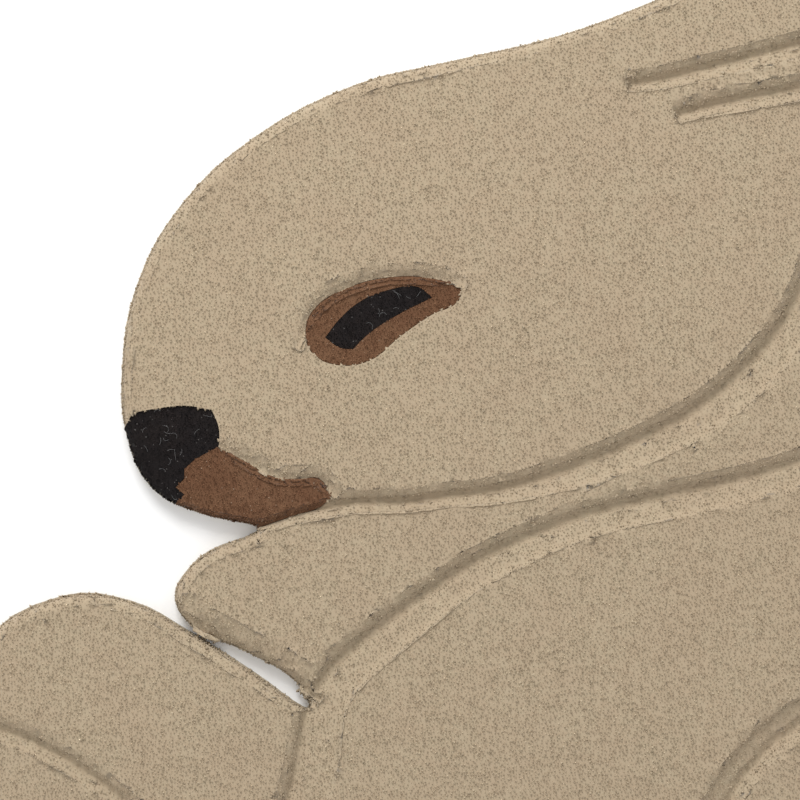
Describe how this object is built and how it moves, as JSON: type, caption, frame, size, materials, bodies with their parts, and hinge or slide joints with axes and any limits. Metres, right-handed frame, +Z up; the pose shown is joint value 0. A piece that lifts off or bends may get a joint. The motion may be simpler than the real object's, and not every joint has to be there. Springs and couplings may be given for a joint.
{
  "type": "rabbit shaped kids rug",
  "caption": "Flat hand-tufted wool rug in the outline of a crouching rabbit in profile, with carved lines between the body parts and inlaid eye, mouth and nose.",
  "frame": {"origin": "middle of the rug's bounding box, on the floor under it", "axes": "+X from the rabbit's nose towards its tail, +Y from its feet towards its ears, +Z up out of the pile"},
  "size_m": [0.9928, 0.8192, 0.018],
  "materials": {
    "beige_wool": "matte wool cut pile",
    "brown_wool": "matte wool cut pile",
    "black_wool": "matte wool cut pile"
  },
  "bodies": {
    "root": {"rug_body": "beige_wool", "eye_ring": "brown_wool", "eye_pupil": "black_wool", "mouth": "brown_wool", "nose": "black_wool"}
  },
  "joints": []
}
